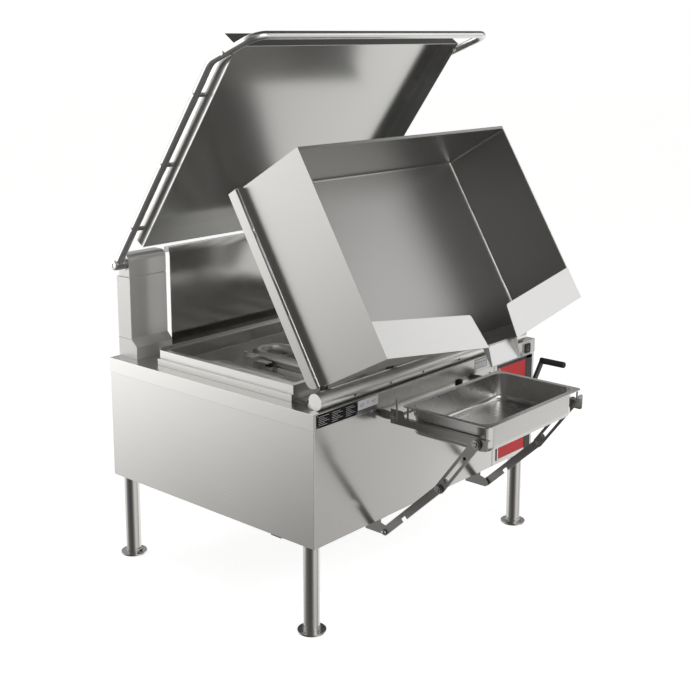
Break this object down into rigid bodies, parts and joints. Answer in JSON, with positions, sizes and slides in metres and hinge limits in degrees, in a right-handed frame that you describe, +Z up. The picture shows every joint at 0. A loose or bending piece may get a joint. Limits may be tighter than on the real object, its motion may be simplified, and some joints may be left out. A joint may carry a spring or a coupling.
{
  "type": "tilting skillet",
  "caption": "Floor-standing gas tilting skillet: deep pan with a pouring lip on a legged cabinet, raised lid on a bent tube, tilt crank and a fold-down steam-pan carrier.",
  "frame": {"origin": "on the floor, at the centre of the rectangle of the four feet", "axes": "+Z up, +X to the right seen from the front, -Y out of the front"},
  "size_m": [1.187, 1.358, 1.7917],
  "materials": {
    "panel_steel": "brushed stainless",
    "polished_steel": "polished stainless",
    "pan_steel": "satin stainless",
    "plate_steel": "cast aluminium heat plate",
    "frame_paint": "dull primer",
    "burner_iron": "raw iron",
    "red_panel": "satin red",
    "black_plastic": "matt black",
    "black_paint": "satin black",
    "brass": "satin",
    "black_rubber": "matt"
  },
  "bodies": {
    "cabinet": {"base_frame": "frame_paint", "leg_front_left": "polished_steel", "leg_front_right": "polished_steel", "leg_rear_left": "polished_steel", "leg_rear_right": "polished_steel", "feet": "polished_steel", "left_panel": "panel_steel", "right_panel": "panel_steel", "front_panel": "panel_steel", "console_face": "panel_steel", "rear_panel": "panel_steel", "top_deck": "panel_steel", "firebox_curb": "panel_steel", "firebox_liner": "panel_steel", "burner_tubes": "burner_iron", "burner_manifold": "burner_iron", "gas_valve": "brass", "gas_inlet_pipe": "burner_iron", "igniter": "black_plastic", "bullnose_rail": "polished_steel", "shaft_bearings": "frame_paint", "tilt_gearbox": "frame_paint", "hinge_post_left": "panel_steel", "hinge_post_right": "panel_steel", "hinge_cap_left": "panel_steel", "hinge_cap_right": "panel_steel", "hinge_bushes": "brass", "backsplash": "panel_steel", "control_frame": "black_paint", "control_panel": "red_panel", "switch_bezel": "black_plastic", "thermostat": "black_plastic", "carrier_brackets": "panel_steel", "carrier_lugs": "panel_steel", "rest_bumper": "black_rubber"},
    "pan": {"pan_shell": "pan_steel", "spout": "pan_steel", "splash_plates": "pan_steel", "heat_skirt": "panel_steel", "heat_plate": "plate_steel", "pan_arms": "panel_steel", "tilt_shaft": "panel_steel"},
    "lid": {"lid_shell": "pan_steel", "lid_handle": "polished_steel", "lid_pivots": "polished_steel", "lid_standoffs": "polished_steel"},
    "crank": {"crank_spindle": "polished_steel", "crank_lever": "black_paint"},
    "crank_grip": {"crank_grip": "black_plastic"},
    "rack": {"rail_left": "panel_steel", "rail_right": "panel_steel", "carrier_rod": "panel_steel"},
    "lower_links": {"lower_link_left": "panel_steel", "lower_link_right": "panel_steel"},
    "upper_links": {"upper_link_left": "panel_steel", "upper_link_right": "panel_steel"},
    "steam_pan": {"steam_pan": "panel_steel"},
    "thermostat_knob": {"thermostat_knob": "black_plastic"},
    "switch_rocker": {"switch_rocker": "black_plastic"}
  },
  "joints": [
    {"name": "pan_tilt", "type": "hinge", "parent": "cabinet", "child": "pan", "pos_m": [0, -0.403, 0.701], "axis": [1, 0, 0], "range_deg": [-59.1, 5]},
    {"name": "lid_hinge", "type": "hinge", "parent": "cabinet", "child": "lid", "pos_m": [0, 0.427, 1.026], "axis": [-1, 0, 0], "range_deg": [-18, 30]},
    {"name": "crank_turn", "type": "hinge", "parent": "cabinet", "child": "crank", "pos_m": [0.493, -0.473, 0.537], "axis": [0, 1, 0], "range_deg": [-2128.6, 181]},
    {"name": "grip_spin", "type": "hinge", "parent": "crank", "child": "crank_grip", "pos_m": [0.56688, -0.568, 0.63156], "axis": [0, 1, 0], "continuous": true},
    {"name": "rack_fold", "type": "hinge", "parent": "cabinet", "child": "rack", "pos_m": [-0.005, -0.513, 0.625], "axis": [1, 0, 0], "range_deg": [0, 75]},
    {"name": "lower_link_turn", "type": "hinge", "parent": "cabinet", "child": "lower_links", "pos_m": [-0.005, -0.491, 0.252], "axis": [1, 0, 0], "range_deg": [-35.8, 0.1]},
    {"name": "upper_link_turn", "type": "hinge", "parent": "rack", "child": "upper_links", "pos_m": [-0.005, -0.824, 0.615], "axis": [1, 0, 0], "range_deg": [-0.1, 57.6]},
    {"name": "steam_pan_lift", "type": "slide", "parent": "cabinet", "child": "steam_pan", "axis": [0, -0.866, 0.5], "range_m": [0, 0.25]},
    {"name": "knob_turn", "type": "hinge", "parent": "cabinet", "child": "thermostat_knob", "pos_m": [0.417, -0.473, 0.47], "axis": [0, -1, 0], "range_deg": [-300, 0]},
    {"name": "rocker_tip", "type": "hinge", "parent": "cabinet", "child": "switch_rocker", "pos_m": [0.534, -0.477, 0.677], "axis": [1, 0, 0], "range_deg": [-8, 8]}
  ],
  "couplings": [
    {"joint": "crank_turn", "follows": "pan_tilt", "ratio": 36},
    {"joint": "lower_link_turn", "follows": "rack_fold", "ratio": -0.47653},
    {"joint": "upper_link_turn", "follows": "rack_fold", "ratio": 0.76613}
  ]
}
